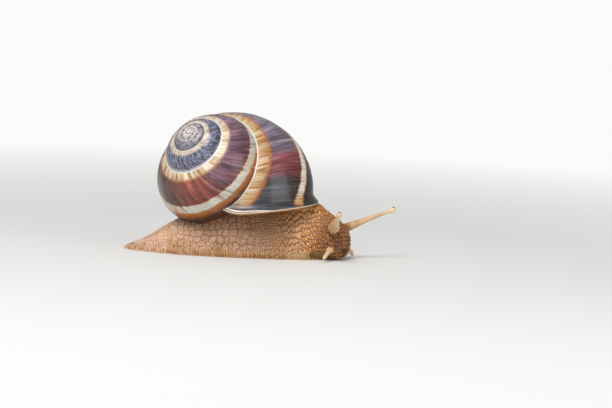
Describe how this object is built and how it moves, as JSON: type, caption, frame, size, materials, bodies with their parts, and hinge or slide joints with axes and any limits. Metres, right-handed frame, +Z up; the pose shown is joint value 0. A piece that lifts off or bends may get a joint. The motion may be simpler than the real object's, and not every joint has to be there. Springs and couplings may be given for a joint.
{
  "type": "crawling land snail",
  "caption": "Life-size crawling land snail: banded spiral shell over a long warty foot, head turned aside, eye stalks and feelers out.",
  "frame": {"origin": "on the flat underside of the sole, under the middle of the foot", "axes": "+X forward, the way the snail crawls; +Y to its left; +Z up"},
  "size_m": [0.074, 0.0404, 0.0382],
  "materials": {
    "shell": "glossy horn and lime, dark brown bands on cream",
    "mantle": "moist flesh, orange-tan",
    "skin": "moist warty skin, tan with darker grooves",
    "eye": "small dark wet eye"
  },
  "bodies": {
    "root": {"shell_tip": "shell", "shell_spire": "shell", "shell_body_whorl": "shell", "shell_lip": "shell", "mantle_collar": "mantle", "tail": "skin", "foot": "skin", "neck": "skin", "head": "skin", "foot_sole": "skin", "mouth_lobes": "skin", "eyestalk_base_left": "skin", "eyestalk_shaft_left": "skin", "eyestalk_bulb_left": "skin", "eyestalk_base_right": "skin", "eyestalk_shaft_right": "skin", "eyestalk_bulb_right": "skin", "eye_left": "eye", "eye_right": "eye", "lower_feeler_left": "skin", "lower_feeler_right": "skin"}
  },
  "joints": []
}
